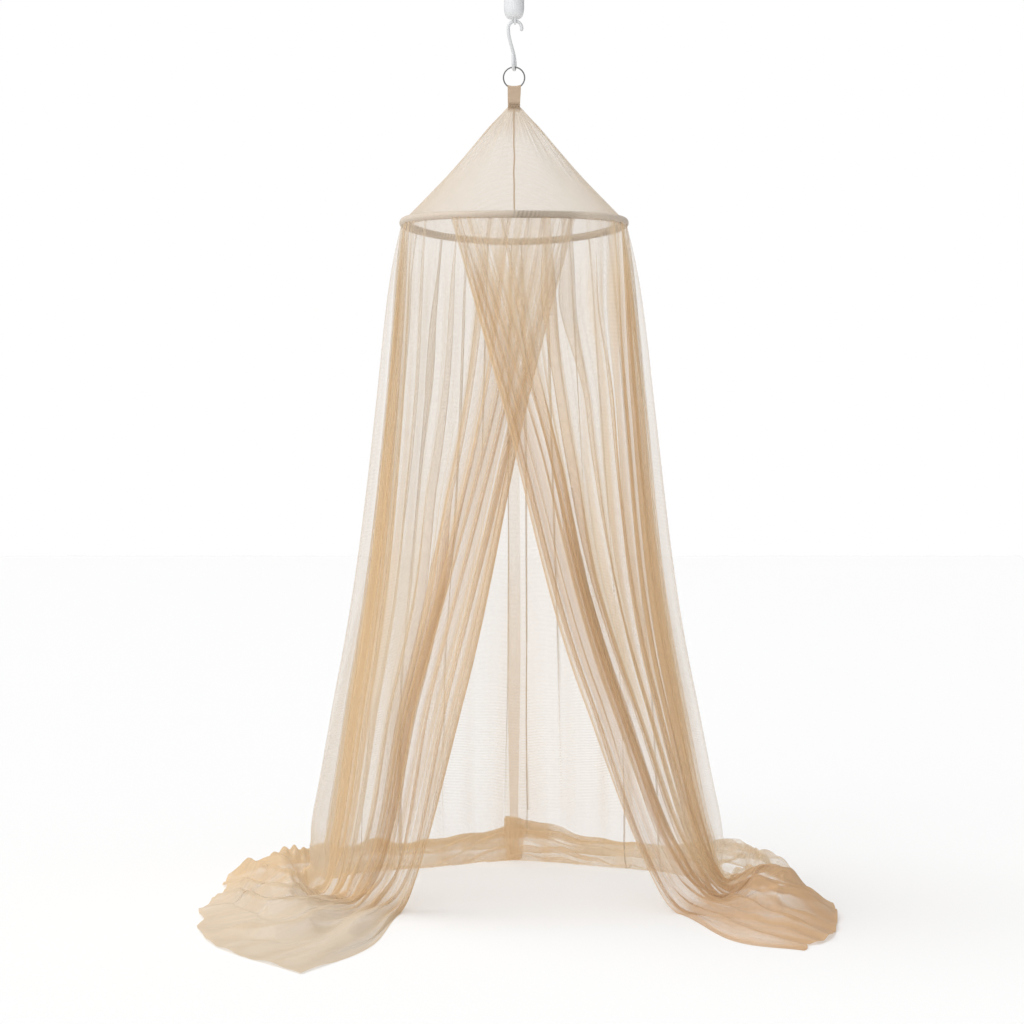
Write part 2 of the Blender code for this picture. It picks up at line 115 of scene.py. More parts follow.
# Pleats from the back to the front edge. width is the pleat's width in the ribs' cloth, depth how
# far it stands out as a share of the deepest, full the cloth that it takes as a multiple of its
# width, and lay how thick it lies: over towards the front edge, or the back if < 0. plies is how
# many layers its gathers stack that are too fine for the mesh
Fold = namedtuple("Fold", "width depth full lay steps plies")
LEFT_FOLDS = (
    Fold(0.060, 0.20, 1.60, 0.22, 12, 1.45),
    Fold(0.080, 0.25, 1.30, 0.18, 12, 1.45),
    Fold(0.085, 0.25, 1.35, -0.2, 12, 1.45),
    Fold(0.190, 0.30, 1.20, -0.2, 16, 1.4),
    Fold(0.170, 0.35, 1.10, 0.25, 16, 1.2),
    Fold(0.165, 0.60, 0.85, 0.4, 16, 1.0),
    Fold(0.170, 1.00, 0.62, 0.1, 22, 0.95),
    Fold(0.085, 0.60, 0.50, 0.9, 18, 1.3),
    Fold(0.080, 0.55, 0.50, -0.8, 18, 1.9),
    Fold(0.120, 0.50, 0.50, 0.9, 22, 2.2),
    Fold(0.130, 0.45, 0.46, 0.8, 22, 1.85),
    Fold(0.130, 0.40, 0.50, -0.8, 22, 1.5),
    Fold(0.110, 0.40, 0.70, 0.9, 20, 1.1),
    Fold(0.050, 0.20, 0.40, 0.1, 6, 1.1),
    Fold(0.110, 0.40, 0.90, 0.8, 20, 1.2),
    Fold(0.045, 0.20, 0.40, 0.1, 4, 1.1),
    Fold(0.120, 0.40, 0.75, 0.9, 22, 1.75),
    Fold(0.110, 0.45, 0.62, -0.8, 20, 2.05),
    Fold(0.100, 0.50, 0.62, 0.9, 20, 1.85),
    Fold(0.100, 0.45, 0.62, 0.9, 20, 1.95),
    Fold(0.030, 0.20, 0.35, 0.1, 4, 1.5),
    Fold(0.090, 0.45, 0.65, 0.9, 20, 2.0),
    Fold(0.070, 0.30, 0.90, 0.8, 16, 1.8),
)
RIGHT_FOLDS = (
    Fold(0.075, 0.25, 1.60, -0.25, 12, 1.45),
    Fold(0.090, 0.25, 1.40, -0.2, 12, 1.45),
    Fold(0.095, 0.25, 1.20, 0.18, 12, 1.45),
    Fold(0.100, 0.25, 1.20, 0.2, 12, 1.4),
    Fold(0.190, 0.35, 1.10, -0.22, 16, 1.2),
    Fold(0.175, 0.60, 0.90, -0.4, 16, 0.9),
    Fold(0.185, 1.00, 0.68, -0.1, 22, 0.85),
    Fold(0.100, 0.60, 0.62, -0.9, 20, 1.25),
    Fold(0.100, 0.55, 0.62, 0.8, 20, 2.0),
    Fold(0.120, 0.50, 0.60, -0.9, 22, 2.4),
    Fold(0.120, 0.40, 0.60, 0.8, 22, 2.25),
    Fold(0.030, 0.20, 0.40, -0.1, 4, 0.9),
    Fold(0.120, 0.45, 0.75, -0.9, 22, 1.5),
    Fold(0.040, 0.20, 0.42, -0.1, 4, 0.9),
    Fold(0.090, 0.35, 0.95, -0.8, 20, 1.3),
    Fold(0.045, 0.20, 0.42, -0.1, 4, 0.9),
    Fold(0.120, 0.40, 0.95, -0.8, 22, 1.5),
    Fold(0.050, 0.20, 0.42, -0.1, 4, 1.4),
    Fold(0.110, 0.40, 0.75, -0.8, 22, 1.6),
    Fold(0.090, 0.45, 0.55, 0.9, 20, 1.75),
    Fold(0.120, 0.55, 0.50, -0.9, 22, 1.85),
    Fold(0.110, 0.50, 0.50, 0.8, 22, 1.85),
    Fold(0.125, 0.40, 0.50, -0.9, 22, 1.8),
)
# How the pleats move along the ribs' cloth, as (cloth, down, shift) in shares and metres
LEFT_DRIFT = ((1.62, 0.44, 0.07), (1.80, 0.44, 0.08), (1.70, 0.52, 0.05))
RIGHT_DRIFT = ((1.55, 0.08, 0.075), (1.38, 0.08, 0.06), (1.78, 0.42, 0.11))
# Ridges of the cloth on the floor: height and width in metres, then (cloth, along) down its length
LEFT_RIDGES = (
    (0.020, 0.037, ((1.14, 0.64), (0.88, 0.69), (0.86, 0.77), (1.15, 0.85), (1.02, 0.90),
        (0.84, 0.95), (0.80, 1.0))),
    (0.017, 0.037, ((1.48, 0.63), (1.20, 0.68), (1.15, 0.77), (1.60, 0.86), (1.48, 0.92),
        (1.20, 0.97), (1.15, 1.0))),
    (0.018, 0.043, ((1.93, 0.63), (1.74, 0.67), (1.55, 0.73), (1.86, 0.84), (1.82, 0.90),
        (1.56, 0.95), (1.50, 1.0))),
    (0.019, 0.037, ((2.14, 0.64), (2.02, 0.70), (1.92, 0.77), (2.14, 0.88), (2.12, 0.93),
        (2.04, 0.96), (2.0, 1.0))),
    (0.014, 0.033, ((2.26, 0.64), (2.20, 0.70), (2.24, 0.80), (2.33, 0.88), (2.34, 0.93), (2.32, 1.0))),
)
RIGHT_RIDGES = (
    (0.030, 0.037, ((0.98, 0.66), (0.72, 0.72), (0.70, 0.80), (1.00, 0.86), (0.92, 0.92), (0.80, 1.0))),
    (0.030, 0.037, ((1.30, 0.64), (1.12, 0.69), (1.05, 0.76), (1.40, 0.84), (1.50, 0.90), (1.45, 1.0))),
    (0.032, 0.040, ((1.64, 0.66), (1.50, 0.71), (1.50, 0.77), (1.76, 0.84), (1.86, 0.90), (1.80, 1.0))),
    (0.026, 0.037, ((1.90, 0.64), (1.84, 0.71), (1.86, 0.78), (2.04, 0.88), (2.08, 0.94), (2.06, 1.0))),
    (0.017, 0.033, ((2.10, 0.66), (2.14, 0.73), (2.26, 0.83), (2.30, 0.90), (2.28, 1.0))),
)
# Layers that small folds stack where the cloth lies on the floor, as (cloth, plies, depth of tone). Tones
# above 1, on the right curtain's front part, are painted shade.
LEFT_LYING = (
    (0.0, 4.6, 1.0), (0.5, 4.5, 1.0), (0.75, 4.2, 1.0), (1.2, 4.6, 0.6), (1.6, 4.4, 0.2),
    (2.4, 4.4, 0.0),
)
RIGHT_LYING = (
    (0.0, 4.9, 1.0), (0.35, 4.7, 1.0), (0.55, 2.4, 0.7), (0.8, 1.6, 0.5), (1.05, 2.6, 0.9),
    (1.3, 5.6, 1.7), (1.8, 7.8, 2.0), (2.4, 7.2, 2.0),
)
DEEPEST_FOLD = 0.045
PLEAT_TURN = 0.011
PLIES_APART = 0.35
DRIFT_REACH = 0.13
ROWS_HANGING = 92
ROWS_LYING = 86

# The heap at the back: small folds, puffs, and hollows as (along, reach, depth)
HEAP_FOLDS = 26
HEAP_FOLD_HEIGHT = 0.0065
HEAP_PUFF_HEIGHT = 0.014
HEAP_HOLLOWS = ((0.86, 0.06, 0.016), (0.75, 0.05, 0.020))
POOL_SWIRL_HEIGHT = 0.006
HEM_DRAWN_IN = 0.022
# How far each back edge passes the middle, hanging, and how much more on the floor
OVERLAP_HANGING = 0.007
OVERLAP_LYING = 0.019
RIGHT_ABOVE_LEFT = 0.006

# How much the gathers that are finer than the mesh close the net
SPREAD_GAIN = {-1: 0.40, 1: 0.72}
# The right curtain's gathers take a deeper, darker tone than the left's: painted shade
PAINTED_SHADE_BY_SIDE = {-1: 0.0, 1: 0.50}
FLOOR_LINES = {-1: 0.28, 1: 0.38}
STREAKS = 0.15
PUFFS = 0.34
RIDGE_PLIES_HEIGHT = 0.022
EDGE_PINCH = 0.05
HEM_PLIES = 0.8


# ---- Smooth curves and steps


def curve_through(keys_at, values, where, monotone=False):
    """A smooth curve through values at keys_at, read at where, as in the solids."""
    values = np.array([np.broadcast_to(v, np.shape(where)) for v in values], float)
    step = np.diff(keys_at)[:, None]
    secant = np.diff(values, axis=0) / step
    before, after = secant[:-1], secant[1:]
    inner = (before * step[1:] + after * step[:-1]) / (step[1:] + step[:-1])
    if monotone:
        product = before * after
        total = np.where(np.abs(before + after) < 1e-12, 1.0, before + after)
        inner = np.where(product > 0, 2 * product / total, 0.0)
    slopes = np.concatenate([secant[:1], inner, secant[-1:]])
    i = np.clip(np.searchsorted(keys_at, where, "right") - 1, 0, len(keys_at) - 2)
    n = np.arange(len(where))
    span = step[i, 0]
    s = (where - keys_at[i]) / span
    return (
        (1 + 2 * s) * (1 - s) ** 2 * values[i, n]
        + s * (1 - s) ** 2 * span * slopes[i, n]
        + s**2 * (3 - 2 * s) * values[i + 1, n]
        + s**2 * (s - 1) * span * slopes[i + 1, n]
    )


def hoop_drop(x, y):
    """How far the hoop bends down under the nets, most at the back and less in front."""
    share = np.clip(y / np.maximum(np.hypot(x, y), 1e-6), -1, 1)
    return np.where(share > 0, HOOP_DROP_BACK, HOOP_DROP_FRONT) * share**2


def smooth_step(low, high, value):
    share = np.clip((value - low) / (high - low), 0, 1)
    return share * share * (3 - 2 * share)


def wander(seed, where, waves=5, longest=1.0):
    """A smooth irregular curve about 0, the same on each run."""
    random = np.random.RandomState(seed)
    total = np.zeros_like(where)
    for k in range(1, waves + 1):
        height, turn = random.normal(0, 1 / k), random.uniform(0, 6.28)
        total += height * np.sin(2 * np.pi * k * where / longest + turn)
    return total


# ---- Curtains


def rib_values(ribs, name, across):
    cloth = np.array([rib.cloth for rib in ribs])
    return curve_through(cloth, [getattr(rib, name) for rib in ribs], across * CUT_WIDTH)


def rib_surface(ribs, side, across, along):
    """The surface that a curtain's ribs span, without its folds. side is -1 left and +1 right."""
    turn = np.radians(rib_values(ribs, "hoop_deg", across))
    radius = rib_values(ribs, "hoop_radius", across)
    keys = ("waist", "knee", "foot", "heap", "hem")
    x = [rib_values(ribs, key + "_x", across) for key in keys]
    y = [rib_values(ribs, key + "_y", across) for key in keys]
    heap = FLOOR + rib_values(ribs, "heap_height", across)
    top_x, top_y = side * radius * np.sin(turn), radius * np.cos(turn)
    top = HOOP - HOOP_HALF_HEIGHT * 0.8 - hoop_drop(top_x, top_y)
    z = [top, WAIST, KNEE, FLOOR + NET_LIFT, heap, FLOOR + NET_LIFT]
    return np.stack(
        [
            side * curve_through(KEYS_AT, [radius * np.sin(turn)] + x, along),
            curve_through(KEYS_AT, [radius * np.cos(turn)] + y, along),
            curve_through(KEYS_AT, z, along, monotone=True),
        ],
        axis=-1,
    )


def fullness_table():
    """How far a fold whose flanks turn by an angle runs for each unit of its cloth."""
    angles = np.linspace(0, 2.25, 226)
    phase = np.linspace(0, 2 * np.pi, 240, endpoint=False)
    return np.cos(angles[:, None] * np.sin(phase)).mean(axis=1), angles


def flank_angle(reach, table=fullness_table()):
    reaches, angles = table
    return np.interp(reach, reaches[::-1], angles[::-1])


def summed(values, step):
    """The running total along each row, brought back to 0 at its end."""
    middle = (values[:, 1:] + values[:, :-1]) / 2 * step
    total = np.concatenate([np.zeros((len(values), 1)), np.cumsum(middle, axis=1)], axis=1)
    return total - np.linspace(0, 1, total.shape[1]) * total[:, -1:]


def fold_block(fold, index, gather, along, heading, seed):
    """Offsets outwards and along the base of one pleat, for rows x steps of its cloth.

    The cloth keeps its length. It runs forward, back over the pleat's overlap and forward again,
    on a broad swell, and small gathers near the hoop take a part of the fullness.
    """
    steps = gather.shape[1]
    share = np.linspace(0, 1, steps)[None, :]
    rows = along[:, None]
    cloth = fold.width * fold.full
    own = seed * 100 + index * 7
    base = fold.width * gather.mean(axis=1, keepdims=True)
    swell = np.minimum(fold.width * 0.45, DEEPEST_FOLD) * fold.depth * (0.06 + 0.94 * heading)
    held = np.sqrt(base**2 + (2.2 * swell) ** 2) / cloth
    reach = np.clip(held * (1 + 0.06 * wander(own, rows, 3, 1.3)), 0.15, 0.98)
    fine = 0.40 * (1 - smooth_step(0, 0.12, rows)) + 0.012
    overlap = cloth * (1 - reach ** (1 - fine)) / 2 * min(1, 1.6 * abs(fold.lay))
    turn = PLEAT_TURN
    wide = np.maximum(overlap, turn)
    swing = np.sqrt(np.minimum(overlap / turn, 1))
    middle = 0.5 + 0.04 * wander(own + 1, rows, 2, 1.5)
    start, end = middle * cloth - wide / 2, middle * cloth + wide / 2
    there = share * cloth
    bend = smooth_step(start - turn / 2, start + turn / 2, there)
    bend = bend - smooth_step(end - turn / 2, end + turn / 2, there)
    angle = np.pi * swing * bend * (1 if fold.lay > 0 else -1)
    drift = 1.2 * wander(own + 2, rows, 3, 1.3)
    waves = max(1, round(cloth / 0.032))
    angle = angle + flank_angle(reach**fine) * np.sin(2 * np.pi * waves * share + drift)
    step = cloth / (steps - 1)
    out = summed(np.sin(angle), step) * abs(fold.lay) * PLIES_APART
    aside = summed(np.cos(angle), step)
    on_base = np.clip(share + aside / base, 0, 1)
    out += swell * (1 - np.cos(2 * np.pi * on_base)) / 2
    return out, aside


def ridge_height(ridge, cloth, gather, along):
    """Height of one long soft ridge of the cloth on the floor, steeper on its front side."""
    height, width, places = ridge
    middle_at = np.interp(along, [p[1] for p in places], [p[0] for p in places])[:, None]
    off = (cloth - middle_at) * np.maximum(gather, 0.12) / width
    off = np.where(off > 0, off * 1.5, off)
    fade = smooth_step(LANDING_AT, LANDING_AT + 0.10, along)
    fade = fade * (1 - 0.75 * smooth_step(0.93, 1.0, along))
    return height * fade[:, None] * (np.exp(-(off**2)) - 0.35 * np.exp(-((off - 2.2) ** 2)))


def streaks(seed, cloth, along):
    """Fine uneven gathers, as long soft lines about 0 that run down the cloth."""
    random = np.random.RandomState(seed)
    total = np.zeros_like(cloth)
    for cycles in (17, 23, 31, 38, 47, 59, 66, 74, 83, 97):
        shift = random.uniform(0, 6.28) + random.normal(0, 3.0) * along + random.normal(0, 1.5) * along**2
        total += np.sin(2 * np.pi * cycles * cloth + shift)
    return total / math.sqrt(5)


def floor_lines(seed, cloth, along):
    """Thin lines, about 0, where the cloth on the floor is doubled, sweeping out to its hem."""
    random = np.random.RandomState(seed)
    total = np.zeros_like(cloth)
    for cycles in (4.5, 7, 10, 14):
        shift = random.uniform(0, 6.28) + random.normal(0, 3.0) * along
        shift = shift + random.uniform(0.6, 1.4) * np.sin(14 * along + random.uniform(0, 6.28))
        total += (0.5 + 0.5 * np.sin(2 * np.pi * cycles * cloth + shift)) ** 8 - 0.196
    return total


def plies_map(folds, lying, ridges, across, cloth, gather, along, side, seed):
    """How many layers the gathers stack that are finer than the mesh, and how deep their tone is. The tone
    deepens where they stack, and more on the right curtain as painted shade.
    """
    widths = np.array([fold.width for fold in folds])
    edges = np.cumsum(widths) / widths.sum()
    own = np.array([fold.plies for fold in folds])
    soft = np.linspace(-0.009, 0.009, 9)[:, None]
    place = np.clip(across[None, 0, :] + soft, 0, 0.99999)
    hanging = own[np.searchsorted(edges, place, "right").clip(0, len(own) - 1)].mean(axis=0)[None, :]
    on_floor = np.interp(across * CUT_WIDTH, [p[0] for p in lying], [p[1] for p in lying])
    back = 1 - smooth_step(0.30, 0.62, across * CUT_WIDTH)
    laid = smooth_step(0.65, 0.78, along - 0.035 * back)
    lower = smooth_step(0.12, 0.42, along) - 1.2 * smooth_step(0.46, 0.64, along)
    gain = SPREAD_GAIN[side] * smooth_step(0.7, 0.95, across * CUT_WIDTH)
    tone_from = hanging * (1 + gain * smooth_step(0.12, 0.42, along))
    hanging = hanging * (1 + gain * lower)
    # Tone on the floor: deeper where folds stack, and painted shade where it passes 1 on the right
    floor_tone_and_shade = np.interp(across * CUT_WIDTH, [p[0] for p in lying], [p[2] for p in lying])
    # Deeper tone where gathers stack, and on the right more again as painted shade
    deep = np.clip((tone_from - 1.3) / 1.1, 0, 1) + PAINTED_SHADE_BY_SIDE[side] * (hanging > 1.3)
    deep = deep * (0.45 + 0.55 * smooth_step(0.0, 0.12, along))
    deep = deep + (floor_tone_and_shade - deep) * laid
    landing = np.exp(-(((along - 0.72) / 0.06) ** 2)) * smooth_step(0.9, 1.2, across * CUT_WIDTH)
    deep = np.maximum(deep, landing)
    hanging = hanging * (0.78 + 0.22 * smooth_step(0.0, 0.08, along))
    plies = hanging + (on_floor - hanging) * laid
    # A pleat is three layers thick in its middle. Its fine gathers are denser at its ends
    number = np.searchsorted(edges, across, "right").clip(0, len(own) - 1)
    share = (across - np.concatenate([[0], edges])[number]) / (widths / widths.sum())[number]
    reach = gather / np.array([fold.full for fold in folds])[number]
    single = np.clip(0.75 * reach - 0.25, 0.03, 0.5)
    ends = 1 - smooth_step(single - 0.03, single + 0.05, np.minimum(share, 1 - share))
    evened = np.maximum(smooth_step(1.3, 1.7, hanging), 0.6 * smooth_step(0.25, 0.45, along))
    evened = evened * smooth_step(0.5, 0.8, across * CUT_WIDTH) * (1 - 0.6 * laid)
    plies = plies * (1 + evened * (1.35 * ends - 0.24))
    gathered = 1 - 0.8 * smooth_step(0.30, 0.60, gather)
    plies = plies * (1 + STREAKS * streaks(seed, cloth, along) * gathered * (1 - 0.35 * laid))
    lines = floor_lines(seed + 2, across * CUT_WIDTH, along)
    plies = plies * (1 + FLOOR_LINES[side] * laid * lines)
    for height, width, places in ridges + between(ridges, side):
        middle_at = np.interp(along[:, 0], [p[1] for p in places], [p[0] for p in places])[:, None]
        off = (across * CUT_WIDTH - middle_at) * np.maximum(gather, 0.12) / width
        fade = smooth_step(LANDING_AT, LANDING_AT + 0.12, along)
        fade = fade * (1 - 0.6 * smooth_step(0.9, 1.0, along))
        crest = 0.75 * np.exp(-(((off + 0.5) / 0.45) ** 2)) - 0.10
        plies = plies * (1 + fade * height / RIDGE_PLIES_HEIGHT * crest)
    puffs = wander(seed + 1, across * CUT_WIDTH + 0.9 * along, 6, 0.5)
    plies = plies * (1 + PUFFS * back * laid * np.clip(puffs, -1.5, 1.5))
    # The back edges hang drawn together, and the hems are doubled
    pinch = np.exp(-((across * CUT_WIDTH / EDGE_PINCH) ** 2)) * smooth_step(0.30, 0.62, along)
    pinch = pinch * (1 - laid)
    plies, deep = plies * (1 + 0.9 * pinch), deep + 0.7 * pinch
    edge = smooth_step(0.9945, 0.9985, across) + smooth_step(0.990, 0.995, along)
    return np.maximum(plies, 0.6) * (1 + HEM_PLIES * edge), deep


def between(ridges, side):
    """On the right, a lower ridge half way between each two neighbours."""
    if side < 0:
        return ()
    made = []
    for (height, width, first), (_, _, second) in zip(ridges[:-1], ridges[1:]):
        down = np.linspace(LANDING_AT, 1, 9)
        lines = [np.interp(down, [p[1] for p in line], [p[0] for p in line]) for line in (first, second)]
        made.append((height * 0.7, width * 0.7, tuple(zip((lines[0] + lines[1]) / 2, down))))
    return tuple(made)


def curtain_points(ribs, folds, drifts, ridges, lying_plies, side, seed):
    """Grid of points, rows x columns, with each one's place on the flat cloth, plies and tone, the tone partly
    painted shade.
    """
    widths = np.array([fold.width for fold in folds])
    valleys = np.concatenate([[0], np.cumsum(widths) / widths.sum()])
    ends = np.concatenate([[0], np.cumsum([fold.steps for fold in folds])])
    across = np.interp(np.arange(ends[-1] + 1), ends, valleys)
    cloths = np.concatenate([[0], np.cumsum([fold.width * fold.full for fold in folds])])
    cloth_x = np.interp(np.arange(ends[-1] + 1), ends, cloths)
    along = np.concatenate(
        [
            np.linspace(0, LANDING_AT, ROWS_HANGING, endpoint=False),
            np.linspace(LANDING_AT, 1, ROWS_LYING + 1),
        ]
    )
    u, v = np.meshgrid(across, along)
    shape = u.shape

    def base(a, b):
        flat_a, flat_b = np.clip(a, 0, 1).ravel(), np.clip(b, 0, 1).ravel()
        return rib_surface(ribs, side, flat_a, flat_b).reshape(*shape, 3)

    moved = np.zeros(shape)
    for cloth, down, shift in drifts:
        near = np.exp(-(((u * CUT_WIDTH - cloth) / DRIFT_REACH) ** 2))
        if down < 0.2:
            moved += shift * near * (1 - smooth_step(down, down + 0.14, v))
        else:
            moved += shift * near * smooth_step(down - 0.14, down, v) * (1 - smooth_step(0.6, 0.75, v))
    at = base(u + moved / CUT_WIDTH, v)
    sideways = np.gradient(at, across, axis=1)
    downwards = np.gradient(at, along, axis=0)
    gather = np.linalg.norm(sideways, axis=2) / CUT_WIDTH
    outwards = side * np.cross(sideways, downwards)
    outwards /= np.maximum(np.linalg.norm(outwards, axis=2, keepdims=True), 1e-9)
    lying = smooth_step(LANDING_AT, FOOT_AT, along)[:, None]
    outwards += lying[..., None] * (np.array([0, 0, 1]) - outwards)

    out, aside = np.zeros(shape), np.zeros(shape)
    heading = 1 - np.exp(-along / 0.1)[:, None]
    for i, fold in enumerate(folds):
        block = slice(ends[i], ends[i + 1] + 1)
        gathered = gather[:, block]
        out[:, block], aside[:, block] = fold_block(fold, i, gathered, along, heading, seed)
    # The floor draws the pleats flat, and broad ridges and crumples take their place
    spread = smooth_step(0.66, 0.84, along)[:, None]
    out *= 1 - 0.80 * spread
    aside *= 1 - 0.25 * spread
    for ridge in ridges + between(ridges, side):
        out += ridge_height(ridge, u * CUT_WIDTH, gather, along)
    back = 1 - smooth_step(0.40, 0.95, u * CUT_WIDTH)
    crumple = np.sin(2 * np.pi * (HEAP_FOLDS * v + 0.9 * wander(seed + 70, u * CUT_WIDTH, 4, 0.9)))
    folded = 1 + 0.3 * wander(seed + 71, u * CUT_WIDTH + v, 4, 0.7)
    flat_on_floor = smooth_step(0.70, 0.78, v) * (1 - 0.6 * smooth_step(0.95, 1.0, v))
    bumps = np.clip(0.35 + 0.7 * wander(seed + 74, u * CUT_WIDTH + 0.35 * v, 7, 0.62), 0, 1.3)
    small = HEAP_FOLD_HEIGHT * folded * (1 + crumple)
    out += back * flat_on_floor * (small + HEAP_PUFF_HEIGHT * bumps * (0.7 + 0.3 * crumple))
    for place, reach, depth in HEAP_HOLLOWS:
        out -= back * depth * np.exp(-(((v - place) / reach) ** 2))
    swirl = wander(seed + 72, u * CUT_WIDTH + 0.8 * v, 5, 1.6) * np.sin(9 * v + 3 * u)
    out += (1 - back) * flat_on_floor * POOL_SWIRL_HEIGHT * (1 + swirl)
    edge_fade = smooth_step(0, 0.01, 1 - u) * smooth_step(0, 0.01, u)
    local = edge_fade * aside / (CUT_WIDTH * np.maximum(gather, 0.15))
    # The hem is drawn in unevenly, which scallops the outline on the floor
    notch = np.maximum(wander(seed + 73, u * CUT_WIDTH, 7, 1.5), -0.25) + 0.25
    drawn_in = HEM_DRAWN_IN * notch * smooth_step(0.88, 1.0, v) * smooth_step(0, 0.05, 1 - u)
    shifted = base(u + moved / CUT_WIDTH + local, v - drawn_in)
    points = shifted + out[..., None] * outwards
    # At the back the two curtains overlap a little, and on the floor the right one lies on top
    overlap = OVERLAP_HANGING + OVERLAP_LYING * spread
    points[..., 0] -= side * overlap * (1 - smooth_step(0, 0.03 + 0.03 * spread, u))
    lifted = RIGHT_ABOVE_LEFT if side > 0 else 0.0
    points[..., 2] += lifted * spread * (1 - smooth_step(0.03, 0.06, u))
    points[..., 2] = np.maximum(points[..., 2], FLOOR + NET_LIFT)
    cloth_x = np.broadcast_to(cloth_x, shape)
    plies, deep = plies_map(folds, lying_plies, ridges, u, cloth_x, gather, v, side, seed + 90)
    return points, cloth_x, v * CUT_LENGTH, plies, deep


def grid_mesh(name, points, cloth_x, cloth_y, plies=None, deep=None):
    """A mesh of quads over a grid of points, with its place on the flat cloth as its UV map."""
    rows, columns = points.shape[:2]
    index = np.arange(rows * columns).reshape(rows, columns)
    quads = np.stack(
        [index[:-1, :-1], index[:-1, 1:], index[1:, 1:], index[1:, :-1]], axis=-1
    ).reshape(-1, 4)
    mesh = bpy.data.meshes.new(name)
    mesh.from_pydata(points.reshape(-1, 3).tolist(), [], quads.tolist())
    uv = mesh.uv_layers.new(name="cloth")
    place = np.stack([cloth_x, cloth_y], axis=-1).reshape(-1, 2)
    uv.data.foreach_set("uv", place[quads.ravel()].ravel())
    if plies is not None:
        for label, values in (("plies", plies), ("deep", deep)):
            stored = mesh.attributes.new(label, "FLOAT", "POINT")
            stored.data.foreach_set("value", values.ravel())
    mesh.shade_smooth()
    mesh.update()
    return mesh


def add(name, data, *materials):
    thing = bpy.data.objects.new(name, data)
    for material in materials:
        data.materials.append(material)
    bpy.context.scene.collection.objects.link(thing)
    return thing


# ---- Materials


def node_material(name):
    material = bpy.data.materials.new(name)
    material.use_nodes = True
    nodes = material.node_tree.nodes
    return material, nodes, material.node_tree.links, nodes["Principled BSDF"]


def math_node(nodes, links, operation, first, second=None, clamp=False):
    node = nodes.new("ShaderNodeMath")
    node.operation = operation
    node.use_clamp = clamp
    for socket, value in zip(node.inputs, (first, second)):
        if value is None:
            continue
        if isinstance(value, (int, float)):
            socket.default_value = value
        else:
            links.new(value, socket)
    return node.outputs[0]


